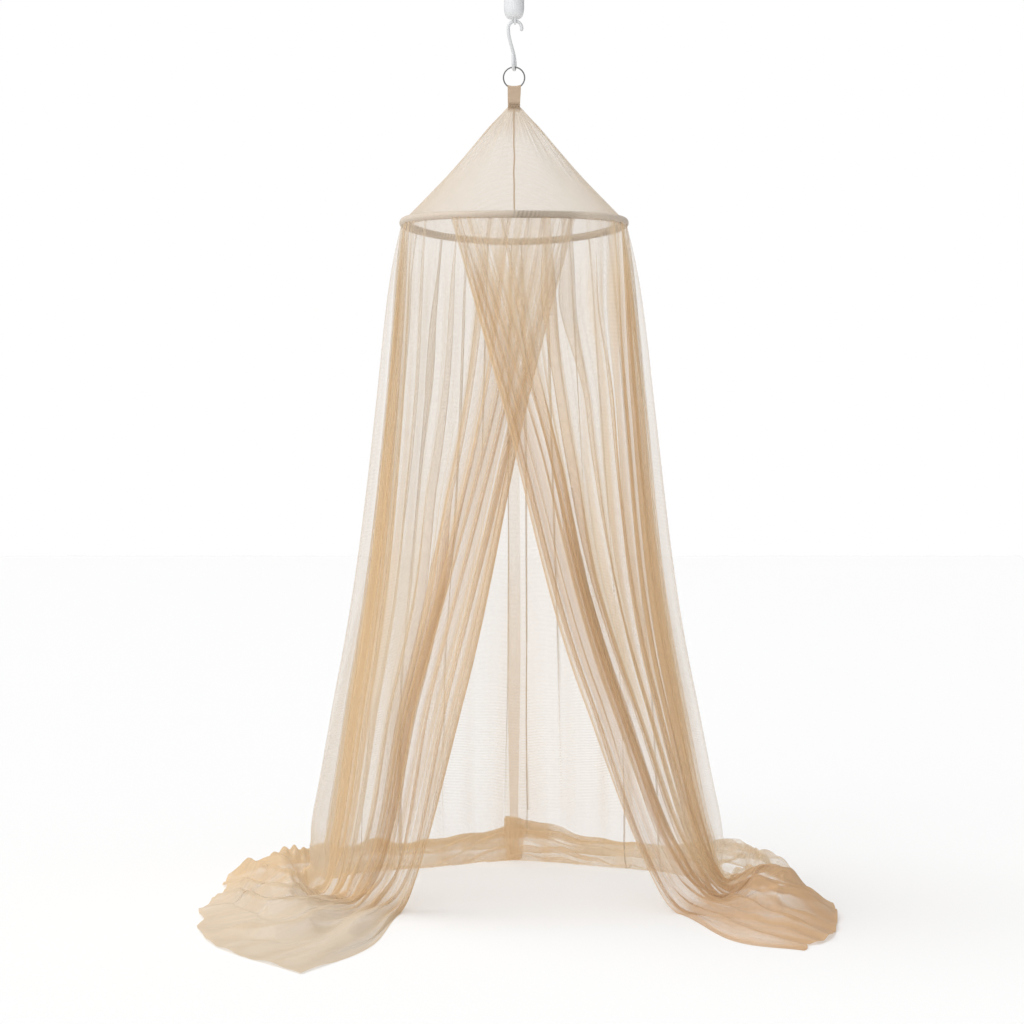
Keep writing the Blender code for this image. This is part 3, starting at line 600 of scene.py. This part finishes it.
def net_material(name, colours, cover, mesh_pitch, changes, grazing, gathered=False):
    """Fine net. cover is the share of the view that its threads close, seen square on.

    changes is (from, to, cover at from, cover at to) down the cloth, where small gathers or
    crumples add up. grazing is the least cosine at which the threads still close more. colours
    are those of a single layer, of many, and of a deep heap, the last darker as painted shade; the gathered
    net's own map chooses.
    """
    material, nodes, links, shader = node_material(name)
    output = nodes["Material Output"]
    shader.inputs["Base Color"].default_value = (*colours[0], 1)
    shader.inputs["Roughness"].default_value = 0.85
    shader.inputs["Specular IOR Level"].default_value = 0.15
    shader.inputs["Sheen Weight"].default_value = 0.15
    shader.inputs["Sheen Roughness"].default_value = 0.5

    through = nodes.new("ShaderNodeBsdfTranslucent")
    through.inputs["Color"].default_value = (*colours[0], 1)
    if gathered:
        # The deep attribute picks the colour: deeper where layers stack, and darker as painted shade on the
        # right curtain
        deep = nodes.new("ShaderNodeAttribute")
        deep.attribute_name = "deep"
        half = math_node(nodes, links, "MULTIPLY", deep.outputs["Fac"], 0.5, clamp=True)
        tones = nodes.new("ShaderNodeValToRGB")
        tones.color_ramp.elements.new(0.5)
        for spot, colour in zip(tones.color_ramp.elements, colours):
            spot.color = (*colour, 1)
        links.new(half, tones.inputs[0])
        links.new(tones.outputs[0], shader.inputs["Base Color"])
        links.new(tones.outputs[0], through.inputs["Color"])
    threads = nodes.new("ShaderNodeMixShader")
    threads.inputs[0].default_value = 0.46
    links.new(shader.outputs[0], threads.inputs[1])
    links.new(through.outputs[0], threads.inputs[2])

    uv = nodes.new("ShaderNodeUVMap")
    uv.uv_map = "cloth"
    split = nodes.new("ShaderNodeSeparateXYZ")
    links.new(uv.outputs[0], split.inputs[0])
    x, y = split.outputs[0], split.outputs[1]
    wave = []
    for sign in (1, -1):
        way = math_node(nodes, links, "MULTIPLY_ADD", y, 0.6 * sign)
        links.new(x, way.node.inputs[2])
        turned = math_node(nodes, links, "MULTIPLY", way, 2 * math.pi / mesh_pitch)
        wave.append(math_node(nodes, links, "SINE", turned))
    pattern = math_node(nodes, links, "MULTIPLY", wave[0], wave[1])
    threads_here = math_node(nodes, links, "MULTIPLY_ADD", pattern, 0.45 * cover)
    crumpled = nodes.new("ShaderNodeMapRange")
    crumpled.interpolation_type = "SMOOTHSTEP"
    for socket, value in zip(crumpled.inputs[1:5], changes):
        socket.default_value = value
    links.new(y, crumpled.inputs[0])
    links.new(crumpled.outputs[0], threads_here.node.inputs[2])

    weight = nodes.new("ShaderNodeLayerWeight")
    weight.inputs["Blend"].default_value = 0.5
    square = math_node(nodes, links, "SUBTRACT", 1.0, weight.outputs["Facing"])
    square = math_node(nodes, links, "MAXIMUM", square, grazing)
    crossings = math_node(nodes, links, "DIVIDE", 1.0, square)
    if gathered:
        stacked = nodes.new("ShaderNodeAttribute")
        stacked.attribute_name = "plies"
        links.new(stacked.outputs["Fac"], crossings.node.inputs[0])
    open_share = math_node(nodes, links, "SUBTRACT", 1.0, threads_here)
    seen_through = math_node(nodes, links, "POWER", open_share, crossings)
    closed = math_node(nodes, links, "SUBTRACT", 1.0, seen_through, clamp=True)
    # Its pale threads pass a part of the light on, so shadows of the net are thin
    path = nodes.new("ShaderNodeLightPath")
    lights = math_node(nodes, links, "MAXIMUM", path.outputs["Is Shadow Ray"], path.outputs["Is Diffuse Ray"])
    passed = math_node(nodes, links, "MULTIPLY_ADD", lights, -THREADS_PASS)
    passed.node.inputs[2].default_value = 1.0
    closed = math_node(nodes, links, "MULTIPLY", closed, passed)

    clear = nodes.new("ShaderNodeBsdfTransparent")
    mix = nodes.new("ShaderNodeMixShader")
    links.new(closed, mix.inputs[0])
    links.new(clear.outputs[0], mix.inputs[1])
    links.new(threads.outputs[0], mix.inputs[2])
    links.new(mix.outputs[0], output.inputs["Surface"])
    return material


def fabric_material(name, colour, dark, scale, bump, roughness=0.9):
    """Woven cover or tape, with its threads as a fine relief and an uneven colour."""
    material, nodes, links, shader = node_material(name)
    shader.inputs["Roughness"].default_value = roughness
    shader.inputs["Specular IOR Level"].default_value = 0.2
    shader.inputs["Sheen Weight"].default_value = 0.2
    uv = nodes.new("ShaderNodeUVMap")
    uv.uv_map = "cloth"
    split = nodes.new("ShaderNodeSeparateXYZ")
    links.new(uv.outputs[0], split.inputs[0])
    ribs = []
    for place, pitch in ((split.outputs[0], scale[0]), (split.outputs[1], scale[1])):
        turned = math_node(nodes, links, "MULTIPLY", place, 2 * math.pi / pitch)
        ribs.append(math_node(nodes, links, "SINE", turned))
    weave = math_node(nodes, links, "MULTIPLY", ribs[0], ribs[1])
    noise = nodes.new("ShaderNodeTexNoise")
    noise.inputs["Scale"].default_value = 60
    noise.inputs["Detail"].default_value = 4
    tone = math_node(nodes, links, "MULTIPLY_ADD", weave, 0.25)
    links.new(noise.outputs["Fac"], tone.node.inputs[2])
    ramp = nodes.new("ShaderNodeValToRGB")
    ramp.color_ramp.elements[0].position = 0.25
    ramp.color_ramp.elements[0].color = (*dark, 1)
    ramp.color_ramp.elements[1].position = 0.75
    ramp.color_ramp.elements[1].color = (*colour, 1)
    links.new(tone, ramp.inputs[0])
    links.new(ramp.outputs[0], shader.inputs["Base Color"])
    relief = nodes.new("ShaderNodeBump")
    relief.inputs["Strength"].default_value = 0.6
    relief.inputs["Distance"].default_value = bump
    links.new(weave, relief.inputs["Height"])
    links.new(relief.outputs[0], shader.inputs["Normal"])
    return material


def hard_material(name, colour, roughness, metallic=0.0, coat=0.0):
    """Painted or polished surface with slight unevenness in its gloss."""
    material, nodes, links, shader = node_material(name)
    shader.inputs["Base Color"].default_value = (*colour, 1)
    shader.inputs["Metallic"].default_value = metallic
    shader.inputs["Coat Weight"].default_value = coat
    noise = nodes.new("ShaderNodeTexNoise")
    noise.inputs["Scale"].default_value = 90
    rough = math_node(nodes, links, "MULTIPLY_ADD", noise.outputs["Fac"], 0.15)
    rough.node.inputs[2].default_value = roughness - 0.07
    links.new(rough, shader.inputs["Roughness"])
    relief = nodes.new("ShaderNodeBump")
    relief.inputs["Strength"].default_value = 0.08
    relief.inputs["Distance"].default_value = 0.0003
    links.new(noise.outputs["Fac"], relief.inputs["Height"])
    links.new(relief.outputs[0], shader.inputs["Normal"])
    return material


THREADS_PASS = 0.34
NET_PITCH = 0.0039
# Colours of a single layer, of many, and of a deep heap; the darker heap colour is painted shade
NET_COLOURS = ((0.70, 0.588, 0.452), (0.765, 0.579, 0.365), (0.64, 0.44, 0.265))
net = net_material(
    "fine_net", NET_COLOURS, 0.195, NET_PITCH, (1.35, 1.75, 0.195, 0.20), 0.48, gathered=True
)
crown_net = net_material(
    "crown_net", ((0.705, 0.61, 0.495),), 0.28, NET_PITCH, (0.0, 0.12, 0.50, 0.28), 0.20
)
binding = fabric_material("binding", (0.715, 0.628, 0.53), (0.50, 0.415, 0.34), (0.0042, 0.0042), 0.0006)
webbing = fabric_material("webbing", (0.58, 0.45, 0.33), (0.42, 0.31, 0.22), (0.0048, 0.0032), 0.0006)
thread = fabric_material("thread", (0.52, 0.39, 0.27), (0.36, 0.26, 0.17), (0.0008, 0.0010), 0.0002)
white_plastic = hard_material("white_plastic", (0.64, 0.65, 0.66), 0.35, coat=0.3)
white_paint = hard_material("white_paint", (0.60, 0.61, 0.62), 0.30, coat=0.3)
dark_chrome = hard_material("dark_chrome", (0.15, 0.148, 0.145), 0.16, metallic=1.0)

for name, ribs, folds, drifts, ridges, lying_plies, side, seed in (
    ("left", LEFT_RIBS, LEFT_FOLDS, LEFT_DRIFT, LEFT_RIDGES, LEFT_LYING, -1, 3),
    ("right", RIGHT_RIBS, RIGHT_FOLDS, RIGHT_DRIFT, RIGHT_RIDGES, RIGHT_LYING, 1, 8),
):
    made = curtain_points(ribs, folds, drifts, ridges, lying_plies, side, seed)
    points, cloth_x, cloth_y, plies, deep = made
    mesh = grid_mesh(name + "_net", points, cloth_x, cloth_y, plies, deep)
    piece = add(name + "_net", mesh, net)
    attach(piece, "root")
    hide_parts(name + "_curtain")

# ---- Crown

NECK_X, NECK_Y = 0.0168, 0.0052
CROWN_LAND = 0.2375
CROWN_LAND_Z = HOOP + HOOP_HALF_HEIGHT * 0.9
CROWN_SAG = 0.0045
CROWN_CREASES = 9
CROWN_CREASE_DEPTH = 0.0035
CROWN_CUT = (1.50, 0.345)
# Sharper folds from the neck down, as (across, height, width, length)
CROWN_FOLDS = (
    (0.335, 0.0050, 0.0075, 0.75), (0.362, 0.0060, 0.0065, 0.80), (0.392, 0.0050, 0.0060, 0.62),
    (0.420, 0.0050, 0.0060, 0.55), (0.452, 0.0030, 0.0060, 0.35), (0.538, 0.0030, 0.0065, 0.30),
    (0.572, 0.0035, 0.0060, 0.45), (0.612, 0.0050, 0.0065, 0.60), (0.640, 0.0045, 0.0060, 0.72),
    (0.672, 0.0050, 0.0070, 0.80), (0.200, 0.0045, 0.0080, 0.60), (0.270, 0.0050, 0.0080, 0.70),
    (0.725, 0.0045, 0.0080, 0.70), (0.790, 0.0050, 0.0080, 0.60), (0.080, 0.0040, 0.0080, 0.60),
    (0.910, 0.0040, 0.0080, 0.60),
)


def crown_point(across, along, lift=0.0):
    """The net cone from its gathered neck down to the hoop, taut, with fine gathers at its top."""
    turn = 2 * np.pi * across
    crease = CROWN_CREASE_DEPTH * np.sin(np.pi * along) * (1 - along)
    sag = CROWN_SAG * np.sin(np.pi * along)
    gathers = 0.0008 * smooth_step(0, 0.10, along) * (1 - smooth_step(0.10, 0.55, along))
    uneven = 1 + 0.6 * wander(51, across, 7)
    ripple = crease * np.cos(CROWN_CREASES * turn) - sag
    ripple = ripple + gathers * uneven * np.cos(46 * turn + 2 * wander(52, across, 5)) + lift
    for place, height, width, length in CROWN_FOLDS:
        near = np.exp(-(((across - place) / width) ** 2))
        ripple = ripple + height * near * smooth_step(0.02, 0.2, along) * (1 - smooth_step(0.2, length, along))
    half_x = NECK_X + (CROWN_LAND - NECK_X) * along + ripple
    half_y = NECK_Y + (CROWN_LAND - NECK_Y) * along + ripple + sag * (1 - along) ** 3
    x, y = half_x * np.sin(turn), half_y * np.cos(turn)
    z = APEX + (CROWN_LAND_Z - APEX - hoop_drop(x, y)) * along
    return np.stack([x, y, z], axis=-1)


u, v = np.meshgrid(np.linspace(0, 1, 553), np.linspace(0, 1, 60) ** 1.2)
crown = add("crown", grid_mesh("crown", crown_point(u, v), u * CROWN_CUT[0], v * CROWN_CUT[1]), crown_net)
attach(crown, "root")
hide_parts("crown_net")

seam_u, seam_v = np.meshgrid(0.5 + np.linspace(-1, 1, 5) * 0.0006, np.linspace(0.0, 0.995, 90))
seam_width = 0.0030
seam_points = crown_point(seam_u, seam_v, lift=0.0006)
seam_points[..., 0] = np.linspace(-seam_width / 2, seam_width / 2, 5)[None, :]
seam_points[..., 0] += 0.0006 * wander(53, seam_v, 4)
seam_mesh = grid_mesh("crown_seam", seam_points, seam_points[..., 0], seam_v * CROWN_CUT[1])
seam = add("crown_seam", seam_mesh, thread)
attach(seam, "root")


# ---- Hoop, ring, tape, hook


def round_mesh(name, radius, tube, steps, sides, centre, upright=False, relief=None, bent=False):
    """A torus with its cloth map along and round its tube. The bent one is the hoop."""
    a, b = np.meshgrid(np.linspace(0, 1, steps + 1), np.linspace(0, 1, sides + 1))
    turn, roll = 2 * np.pi * a, 2 * np.pi * b
    thick = tube + (relief(a, b) if relief else 0)
    reach = radius + thick * np.cos(roll)
    rise = thick * np.sin(roll)
    x, y = reach * np.sin(turn), reach * np.cos(turn)
    if bent:
        flatter = HOOP_HALF_HEIGHT / HOOP_TUBE
        rise = rise * (flatter + (1 - flatter) * np.sin(turn) ** 6) - hoop_drop(x, y)
    flat = np.stack([x, y, rise], axis=-1)
    if upright:
        flat = flat[..., [0, 2, 1]]
    return grid_mesh(name, flat + np.array(centre), a * 2 * np.pi * radius, b * 2 * np.pi * tube)


def hoop_cover_material():
    """The woven binding, wound round the hoop: its turns show, and it is doubled in front. Painted shade makes
    it darker at its back and right back, and darkest just right of its front.
    """
    nodes, links = binding.node_tree.nodes, binding.node_tree.links
    shader = nodes["Principled BSDF"]
    woven = shader.inputs["Base Color"].links[0].from_socket
    uv = nodes.new("ShaderNodeUVMap")
    uv.uv_map = "cloth"
    split = nodes.new("ShaderNodeSeparateXYZ")
    links.new(uv.outputs[0], split.inputs[0])
    round_share = math_node(nodes, links, "DIVIDE", split.outputs[0], 2 * math.pi * HOOP_RADIUS)
    # Painted shade round the hoop: grey steps by the share round it, darkest just right of the front
    tone = nodes.new("ShaderNodeValToRGB")
    for place, grey in (
        (0.0, 0.74), (0.18, 0.80), (0.28, 1.0), (0.395, 1.0), (0.42, 0.74),
        (0.492, 0.62), (0.504, 0.86), (0.55, 0.94), (0.58, 1.0),
    ):
        spot = tone.color_ramp.elements[0] if place == 0.0 else tone.color_ramp.elements.new(place)
        spot.color = (grey, grey * (0.93 + 0.06 * grey), grey * (0.83 + 0.14 * grey), 1)
    tone.color_ramp.elements[-1].color = (1, 1, 1, 1)
    links.new(round_share, tone.inputs[0])
    turns = math_node(nodes, links, "MULTIPLY", split.outputs[0], 2 * math.pi / 0.0085)
    slant = math_node(nodes, links, "MULTIPLY_ADD", split.outputs[1], 2 * math.pi / 0.030)
    links.new(turns, slant.node.inputs[2])
    wound = math_node(nodes, links, "SINE", slant)
    shows = nodes.new("ShaderNodeValToRGB")
    for place, grey in (
        (0.0, 0.05), (0.46, 0.05), (0.474, 0.5), (0.498, 0.5), (0.504, 0.05),
        (0.78, 0.08), (0.83, 0.6), (0.93, 0.6), (0.96, 0.08),
    ):
        spot = shows.color_ramp.elements[0] if place == 0.0 else shows.color_ramp.elements.new(place)
        spot.color = (grey, grey, grey, 1)
    shows.color_ramp.elements[-1].color = (0.05, 0.05, 0.05, 1)
    links.new(round_share, shows.inputs[0])
    dark = math_node(nodes, links, "MULTIPLY", wound, shows.outputs[0])
    light = math_node(nodes, links, "MULTIPLY_ADD", dark, 0.35)
    light.node.inputs[2].default_value = 0.97
    first = nodes.new("ShaderNodeVectorMath")
    first.operation = "MULTIPLY"
    links.new(woven, first.inputs[0])
    links.new(tone.outputs[0], first.inputs[1])
    second = nodes.new("ShaderNodeVectorMath")
    second.operation = "SCALE"
    links.new(first.outputs[0], second.inputs[0])
    links.new(light, second.inputs["Scale"])
    links.new(second.outputs[0], shader.inputs["Base Color"])
    return binding


def padding(a, b):
    """The cover's slight lumps, drawn in where its seam is stitched round."""
    return 0.0005 * wander(61, a, 23) * 0.4 + 0.00025 * np.sin(2 * np.pi * (190 * a + b))


hoop_mesh = round_mesh(
    "hoop_cover", HOOP_RADIUS, HOOP_TUBE, 900, 20, (0, 0, HOOP), relief=padding, bent=True
)
hoop = add("hoop_cover", hoop_mesh, hoop_cover_material())
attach(hoop, "root")
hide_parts("covered_hoop")

RING_RADIUS, RING_WIRE = 0.0231, 0.0030
HOOK_WIRE = 0.0072
LOWER_BOW = (0.0, 0.0, -0.2019)
LOWER_BOW_RADIUS = 0.0120
SEAT = 0.0003
ring_z = LOWER_BOW[2] - LOWER_BOW_RADIUS + HOOK_WIRE / 2 + SEAT + RING_WIRE / 2 - RING_RADIUS
ring = add(
    "ring", round_mesh("ring", RING_RADIUS, RING_WIRE / 2, 96, 16, (0, 0, ring_z), upright=True), dark_chrome
)
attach(ring, "root")
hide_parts("steel_ring")

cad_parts["ceiling_stem"].data.materials.clear()
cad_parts["ceiling_stem"].data.materials.append(white_plastic)


def swept(name, route, radius, sides=16):
    """A round wire along a route, with its ends rounded off."""
    route = np.array(route, float)
    ahead = np.gradient(route, axis=0)
    ahead /= np.linalg.norm(ahead, axis=1, keepdims=True)
    rounding = np.radians([88, 65, 42, 20])
    start = route[0] - ahead[0] * radius * np.sin(rounding)[:, None]
    end = route[-1] + ahead[-1] * radius * np.sin(rounding[::-1])[:, None]
    centres = np.concatenate([start, route, end])
    ways = np.concatenate([np.repeat(ahead[:1], 4, 0), ahead, np.repeat(ahead[-1:], 4, 0)])
    sizes = radius * np.concatenate([np.cos(rounding), np.ones(len(route)), np.cos(rounding[::-1])])
    side = np.cross(ways[0], (0.3, 1.0, 0.2))
    rings = []
    roll = np.linspace(0, 2 * np.pi, sides + 1)
    for centre, way, size in zip(centres, ways, sizes):
        side = side - way * np.dot(side, way)
        side /= np.linalg.norm(side)
        up = np.cross(way, side)
        rings.append(centre + size * (np.cos(roll)[:, None] * side + np.sin(roll)[:, None] * up))
    rings = np.array(rings)
    length = np.concatenate([[0], np.cumsum(np.linalg.norm(np.diff(centres, axis=0), axis=1))])
    along = np.broadcast_to(length[:, None], rings.shape[:2])
    return grid_mesh(name, rings, along, np.broadcast_to(roll * radius, rings.shape[:2]))


UPPER_BOW = (0.0021, 0.0, 1.8768 + FLOOR)
UPPER_BOW_RADIUS = 0.0147
LOWER_TURN = math.radians(10)
LOWER_TIP = 1.8152 + FLOOR
SHANK_PULL = 0.030


def hook_route():
    """From the upper bow's tip over its top, down the shank and round the lower bow."""
    upper, lower = np.array(UPPER_BOW), np.array(LOWER_BOW)
    back = np.array((math.sin(LOWER_TURN), math.cos(LOWER_TURN), 0))
    up = np.array((0.0, 0.0, 1.0))
    turns = np.radians(np.linspace(-13, 180, 40))
    first = upper + UPPER_BOW_RADIUS * np.stack([np.cos(turns), 0 * turns, np.sin(turns)], axis=1)
    start, end = first[-1], lower + LOWER_BOW_RADIUS * back
    s = np.linspace(0, 1, 32)[1:, None]
    shank = (1 - s) ** 3 * start + 3 * s * (1 - s) ** 2 * (start - SHANK_PULL * up)
    shank = shank + 3 * s**2 * (1 - s) * (end + SHANK_PULL * up) + s**3 * end
    turns = np.radians(np.linspace(0, -180, 36))[1:, None]
    last = lower + LOWER_BOW_RADIUS * (np.cos(turns) * back + np.sin(turns) * up)
    rise = np.linspace(0, LOWER_TIP - LOWER_BOW[2], 8)[1:, None]
    return np.concatenate([first, shank, last, lower - LOWER_BOW_RADIUS * back + rise * up])


hook = add("hook", swept("hook", hook_route(), HOOK_WIRE / 2), white_paint)
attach(hook, "root")
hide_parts("s_hook")

TAPE_WIDTH, TAPE_WIDTH_IN_APEX = 0.0290, 0.0262
TAPE_THICKNESS, TAPE_PLY_GAP = 0.0012, 0.0010
TAPE_BOTTOM = 1.6935 + FLOOR
TAPE_CLOSES_BELOW = 0.0140
TAPE_SPANS = 0.0026


def tape_grid():
    """The tape over the ring's lowest stretch. It is stiff, so its fold spans most of the curve."""
    bend = RING_WIRE / 2 + 2 * SEAT + TAPE_THICKNESS / 2
    ply = (TAPE_PLY_GAP + TAPE_THICKNESS) / 2
    wire = ring_z - RING_RADIUS
    turn = np.linspace(0, np.pi, 21)
    down = np.linspace(0, 1, 60)
    down_z = TAPE_BOTTOM + (wire - TAPE_BOTTOM) * down
    down_y = ply + (bend - ply) * smooth_step(wire - TAPE_CLOSES_BELOW, wire, down_z)
    path_y = np.concatenate([down_y[:-1], bend * np.cos(turn), -down_y[::-1][1:]])
    path_z = np.concatenate([down_z[:-1], wire + bend * np.sin(turn), down_z[::-1][1:]])
    down_length = np.concatenate([[0], np.cumsum(np.hypot(np.diff(path_y), np.diff(path_z)))])
    across = np.linspace(-0.5, 0.5, 25)[None, :]
    y, z = path_y[:, None], path_z[:, None]
    follows = smooth_step(TAPE_BOTTOM, wire, z)
    width = TAPE_WIDTH_IN_APEX + (TAPE_WIDTH - TAPE_WIDTH_IN_APEX) * follows
    x = across * width + 0.0003 * wander(81, z * 12, 3)
    ring_drop = np.sqrt(RING_RADIUS**2 - x**2)
    rise = (RING_RADIUS - ring_drop) * follows + TAPE_SPANS * (1 - (2 * across) ** 2) * follows
    # The stitched end is drawn in to small puckers
    pucker = 1 - smooth_step(TAPE_BOTTOM + 0.010, TAPE_BOTTOM + 0.026, z)
    y = y + np.sign(y) * pucker * (0.0006 + 0.0007 * np.cos(2 * np.pi * 5.5 * across + 9 * z / 0.02))
    points = np.stack([x, y + 0 * x, z + rise], axis=-1)
    return points, (across + 0.5) * TAPE_WIDTH + 0 * z, down_length[:, None] + 0 * across


tape_points, tape_x, tape_y = tape_grid()
tape = add("tape", grid_mesh("tape", tape_points, tape_x, tape_y), webbing)
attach(tape, "root")
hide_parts("hanging_tape")

# Rows of small slanted stitches that hold the tape in the crown's neck
STITCH_ROWS = ((-0.2890, 7, 0.0250, 0.0036), (-0.2945, 8, 0.0262, 0.0044), (-0.3000, 8, 0.0290, 0.0066))


def stitches_mesh():
    parts = []
    for face in (-1, 1):
        for row, (height, count, width, out) in enumerate(STITCH_ROWS):
            for k in range(count):
                x = (k - (count - 1) / 2) * width / count + 0.0005 * math.sin(5.1 * k + row)
                lean = 0.0014 * (1 if (k + row) % 2 else -1)
                y = face * (out + 0.0007)
                low = (x - lean, y, height - 0.0016 - 0.0003 * math.sin(3.3 * k))
                high = (x + lean, y, height + 0.0016)
                middle = (x, y + face * 0.0005, height)
                parts.append(swept("stitch", [low, middle, high], 0.0009, 8))
    joined = bmesh.new()
    for part in parts:
        joined.from_mesh(part)
        bpy.data.meshes.remove(part)
    mesh = bpy.data.meshes.new("stitches")
    joined.to_mesh(mesh)
    joined.free()
    mesh.shade_smooth()
    return mesh


stitches = add("stitches", stitches_mesh(), thread)
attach(stitches, "root")

# ---- Stage, light and camera

BACKDROP = 1.0
FILL = 0.86
SUN = 1.10
FRONT = 0.80
scene = bpy.context.scene
floor_mesh = bpy.data.meshes.new("floor")
floor_mesh.from_pydata(
    [(-30, -20, FLOOR), (30, -20, FLOOR), (30, 40, FLOOR), (-30, 40, FLOOR)], [], [(0, 1, 2, 3)]
)
white, _, _, shader = node_material("studio_floor")
shader.inputs["Base Color"].default_value = (0.90, 0.90, 0.90, 1)
shader.inputs["Roughness"].default_value = 0.9
shader.inputs["Specular IOR Level"].default_value = 0.1
floor = add("floor", floor_mesh, white)

world = bpy.data.worlds.new("studio")
scene.world = world
world.use_nodes = True
sky, links = world.node_tree.nodes, world.node_tree.links
# The camera sees an even white backdrop. The light is softer, and stronger from the left
backdrop = sky["Background"]
backdrop.inputs["Color"].default_value = (1, 1, 1, 1)
backdrop.inputs["Strength"].default_value = BACKDROP
fill = sky.new("ShaderNodeBackground")
way = sky.new("ShaderNodeTexCoord")
apart = sky.new("ShaderNodeSeparateXYZ")
links.new(way.outputs["Generated"], apart.inputs[0])
aside = math_node(sky, links, "MULTIPLY_ADD", apart.outputs[0], -0.60 * FILL)
aside.node.inputs[2].default_value = FILL
fall = math_node(sky, links, "MULTIPLY_ADD", apart.outputs[1], -0.5 * FILL)
links.new(aside, fall.node.inputs[2])
links.new(fall, fill.inputs["Strength"])
path = sky.new("ShaderNodeLightPath")
choose = sky.new("ShaderNodeMixShader")
links.new(path.outputs["Is Camera Ray"], choose.inputs[0])
links.new(fill.outputs[0], choose.inputs[1])
links.new(backdrop.outputs[0], choose.inputs[2])
links.new(choose.outputs[0], sky["World Output"].inputs["Surface"])

sun = bpy.data.lights.new("softbox", "SUN")
sun.energy = SUN
sun.angle = math.radians(50)
sun_object = bpy.data.objects.new("softbox", sun)
sun_object.rotation_euler = (math.radians(-8), math.radians(-22), 0)
scene.collection.objects.link(sun_object)

front = bpy.data.lights.new("front_softbox", "SUN")
front.energy = FRONT
front.angle = math.radians(60)
front_object = bpy.data.objects.new("front_softbox", front)
front_object.rotation_euler = (math.radians(66), 0, math.radians(-20))
scene.collection.objects.link(front_object)

camera_data = bpy.data.cameras.new("camera")
camera_data.lens = 85
camera_data.sensor_width = 36
camera = bpy.data.objects.new("camera", camera_data)
camera.location = (-0.0044, -5.28, -1.18)
camera.rotation_euler = (math.pi / 2, 0, 0)
scene.collection.objects.link(camera)
scene.camera = camera
scene.view_settings.view_transform = "Standard"
scene.cycles.transparent_max_bounces = 64
scene.cycles.max_bounces = 8
